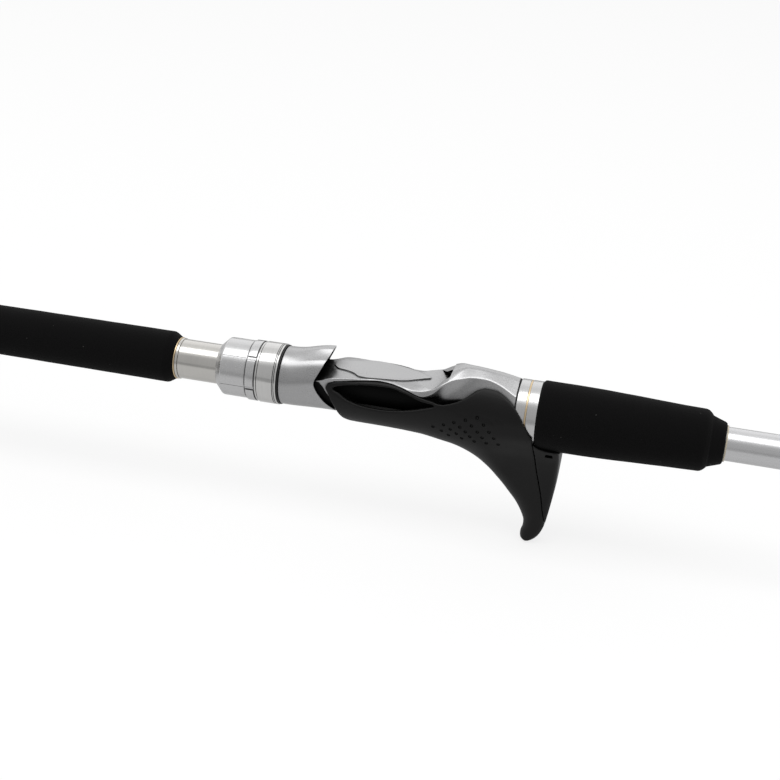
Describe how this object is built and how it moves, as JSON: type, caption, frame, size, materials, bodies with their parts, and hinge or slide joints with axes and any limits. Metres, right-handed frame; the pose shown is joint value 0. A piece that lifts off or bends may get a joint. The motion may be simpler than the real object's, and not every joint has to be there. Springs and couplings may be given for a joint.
{
  "type": "fishing rod",
  "caption": "Short one-piece overhead fishing rod with a trigger reel seat, sliding screw-down hood, foam grips and ring guides along its top.",
  "frame": {"origin": "centre of the reel seat's flat foot pad, on its top face", "axes": "+X along the rod from the tip towards the butt, +Z out of the pad on the reel and guide side; the trigger hangs at -Z"},
  "size_m": [1.5192, 0.0296, 0.097],
  "materials": {
    "carbon_blank": "clear-coated carbon",
    "foam": "fine closed-cell foam",
    "satin_aluminium": "satin",
    "polished_aluminium": "polished",
    "gold_trim": "gold anodised",
    "soft_black": "soft-touch",
    "rubber": "matt",
    "core_black": "satin black",
    "cream_trim": "satin",
    "guide_steel": "polished",
    "ceramic": "polished",
    "thread": "resin-coated thread"
  },
  "bodies": {
    "rod": {"trigger_cover": "soft_black", "seat_frame": "satin_aluminium", "rear_grip": "foam", "butt_grip": "foam", "tip_top": "guide_steel", "foregrip": "foam", "blank": "carbon_blank", "guide_6_frame": "guide_steel", "guide_5_frame": "guide_steel", "guide_4_frame": "guide_steel", "guide_3_frame": "guide_steel", "guide_2_frame": "guide_steel", "guide_1_frame": "guide_steel", "foregrip_winding_check": "polished_aluminium", "barrel_end_ring": "polished_aluminium", "seal_ring": "rubber", "front_collar": "polished_aluminium", "rear_collar": "polished_aluminium", "rear_grip_ring": "cream_trim", "butt_grip_ring": "cream_trim", "trigger_back": "soft_black", "butt_cap": "rubber", "barrel": "polished_aluminium", "barrel_gold_ring": "gold_trim", "core_pipe": "core_black", "collar_gold_ring": "gold_trim", "butt_tube": "satin_aluminium", "guide_6_ring": "ceramic", "guide_5_ring": "ceramic", "guide_4_ring": "ceramic", "guide_3_ring": "ceramic", "guide_2_ring": "ceramic", "guide_1_ring": "ceramic", "tip_ring": "ceramic", "guide_6_wrap_front": "thread", "guide_6_wrap_rear": "thread", "guide_5_wrap_front": "thread", "guide_5_wrap_rear": "thread", "guide_4_wrap_front": "thread", "guide_4_wrap_rear": "thread", "guide_3_wrap_front": "thread", "guide_3_wrap_rear": "thread", "guide_2_wrap_front": "thread", "guide_2_wrap_rear": "thread", "guide_1_wrap_front": "thread", "guide_1_wrap_rear": "thread"},
    "hood": {"sliding_hood": "satin_aluminium", "cushion_ring": "rubber"},
    "nut": {"lock_nut": "polished_aluminium", "clamp_ring": "polished_aluminium"}
  },
  "joints": [
    {"name": "hood_slide", "type": "slide", "parent": "rod", "child": "hood", "axis": [1, 0, 0], "range_m": [-0.016, 0.0015]},
    {"name": "nut_spin", "type": "hinge", "parent": "hood", "child": "nut", "pos_m": [0, 0, -0.0089], "axis": [1, 0, 0], "range_deg": [-2880, 270]}
  ],
  "couplings": [
    {"joint": "hood_slide", "follows": "nut_spin", "m_per_rad": 0.0003183}
  ]
}
